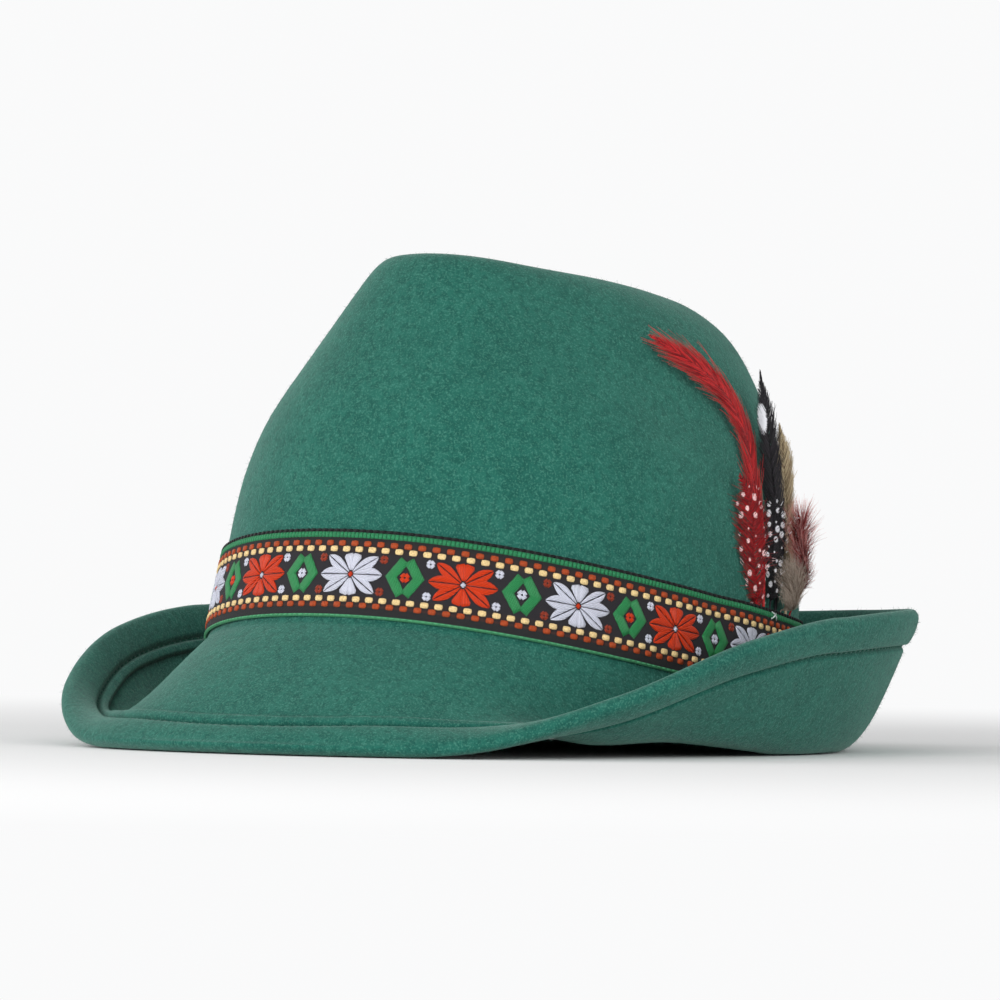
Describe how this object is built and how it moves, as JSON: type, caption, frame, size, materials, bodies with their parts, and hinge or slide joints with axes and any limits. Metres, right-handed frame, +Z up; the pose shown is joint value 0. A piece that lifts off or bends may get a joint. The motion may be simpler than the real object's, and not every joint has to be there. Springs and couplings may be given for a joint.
{
  "type": "tyrolean hat",
  "caption": "Green felt hat with a creased crown, a brim dipped in front and rolled up behind, a woven ribbon and a bunch of feathers.",
  "frame": {"origin": "centre of the hat's outline on the surface that it rests on", "axes": "+Z up, -Y out of the front of the hat, +X to the wearer's left, where the feathers are"},
  "size_m": [0.2492, 0.2812, 0.1525],
  "materials": {
    "felt_green": "wool felt, matt, fine mottled grain",
    "ribbon_woven": "woven ribbon with a traditional alpine flower pattern, slight satin sheen",
    "feather_red": "dyed hackle barbs, soft sheen",
    "feather_spotted_red": "dyed barbs with pale dots",
    "feather_black": "black barbs, faint gloss, one white patch",
    "feather_tan": "tan and cream barbs",
    "feather_spotted_dark": "dark barbs with white dots",
    "fluff_red": "loose red-black barbs with pale tips",
    "fluff_taupe": "loose taupe down"
  },
  "bodies": {
    "root": {"felt_body": "felt_green", "ribbon_band": "ribbon_woven", "hackle_red": "feather_red", "guinea_red": "feather_spotted_red", "feather_black": "feather_black", "feather_tan": "feather_tan", "guinea_dark": "feather_spotted_dark", "fluff_red": "fluff_red", "fluff_taupe": "fluff_taupe"}
  },
  "joints": []
}
